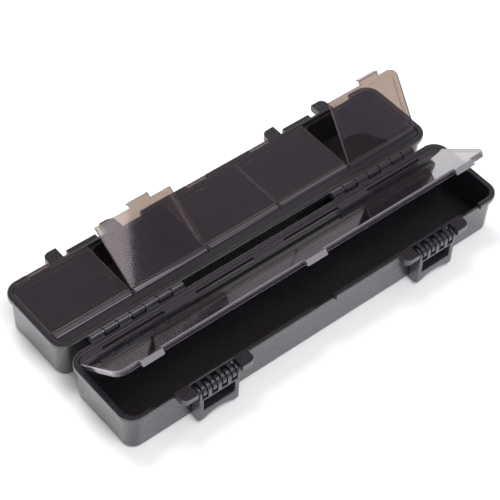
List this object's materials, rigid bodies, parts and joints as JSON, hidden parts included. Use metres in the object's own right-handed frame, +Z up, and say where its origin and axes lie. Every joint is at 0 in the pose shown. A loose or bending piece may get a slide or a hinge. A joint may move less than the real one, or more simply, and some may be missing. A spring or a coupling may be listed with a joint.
{
  "type": "hinged rig box",
  "caption": "Long charcoal plastic case in hinged halves: a tool tray under a long smoke cover, a bits tray under swing-up smoke lids, held shut by front latches.",
  "frame": {"origin": "middle of the tool tray's underside, where it rests", "axes": "+X along the case, +Y from the tool tray towards the bits tray, +Z up; the case lies open"},
  "size_m": [0.28, 0.133, 0.0667],
  "materials": {
    "case_plastic": "smooth charcoal ABS with a soft gloss",
    "tray_plastic": "near-black ABS with a soft gloss",
    "smoke_plastic": "smoke-tinted clear styrene, glossy",
    "pin_steel": "drawn steel wire"
  },
  "bodies": {
    "base": {"base_shell": "case_plastic", "cover_rail": "case_plastic", "cover_rod": "pin_steel", "latch_pin_left": "pin_steel", "latch_pin_right": "pin_steel", "case_pin_left": "pin_steel", "case_pin_right": "pin_steel"},
    "lid": {"lid_shell": "case_plastic", "divider_tray": "tray_plastic", "bit_lid_rod": "pin_steel"},
    "tool_cover": {"tool_cover": "smoke_plastic"},
    "bit_lid_1": {"bit_lid_1": "smoke_plastic"},
    "bit_lid_2": {"bit_lid_2": "smoke_plastic"},
    "bit_lid_3": {"bit_lid_3": "smoke_plastic"},
    "bit_lid_4": {"bit_lid_4": "smoke_plastic"},
    "bit_lid_5": {"bit_lid_5": "smoke_plastic"},
    "latch_left": {"latch_left": "case_plastic"},
    "latch_right": {"latch_right": "case_plastic"}
  },
  "joints": [
    {"name": "case_hinge", "type": "hinge", "parent": "base", "child": "lid", "pos_m": [0, 0.0315, 0.02915], "axis": [1, 0, 0], "range_deg": [0, 180]},
    {"name": "cover_swing", "type": "hinge", "parent": "base", "child": "tool_cover", "pos_m": [0, 0.02085, 0.0265], "axis": [1, 0, 0], "range_deg": [-56, 39]},
    {"name": "lid_1_swing", "type": "hinge", "parent": "lid", "child": "bit_lid_1", "pos_m": [0, 0.04485, 0.0265], "axis": [-1, 0, 0], "range_deg": [-95, 0]},
    {"name": "lid_2_swing", "type": "hinge", "parent": "lid", "child": "bit_lid_2", "pos_m": [0, 0.04485, 0.0265], "axis": [-1, 0, 0], "range_deg": [-63.5, 31.5]},
    {"name": "lid_3_swing", "type": "hinge", "parent": "lid", "child": "bit_lid_3", "pos_m": [0, 0.04485, 0.0265], "axis": [-1, 0, 0], "range_deg": [-95, 0]},
    {"name": "lid_4_swing", "type": "hinge", "parent": "lid", "child": "bit_lid_4", "pos_m": [0, 0.04485, 0.0265], "axis": [-1, 0, 0], "range_deg": [-95, 0]},
    {"name": "lid_5_swing", "type": "hinge", "parent": "lid", "child": "bit_lid_5", "pos_m": [0, 0.04485, 0.0265], "axis": [-1, 0, 0], "range_deg": [-38.5, 56.5]},
    {"name": "latch_left_swing", "type": "hinge", "parent": "base", "child": "latch_left", "pos_m": [-0.082, -0.031, 0.0249], "axis": [-1, 0, 0], "range_deg": [0, 180]},
    {"name": "latch_right_swing", "type": "hinge", "parent": "base", "child": "latch_right", "pos_m": [0.082, -0.031, 0.0249], "axis": [-1, 0, 0], "range_deg": [0, 180]}
  ],
  "couplings": [
    {"joint": "cover_swing", "follows": "case_hinge", "ratio": 0.21666},
    {"joint": "lid_2_swing", "follows": "case_hinge", "ratio": 0.17499},
    {"joint": "lid_5_swing", "follows": "case_hinge", "ratio": 0.31388}
  ]
}
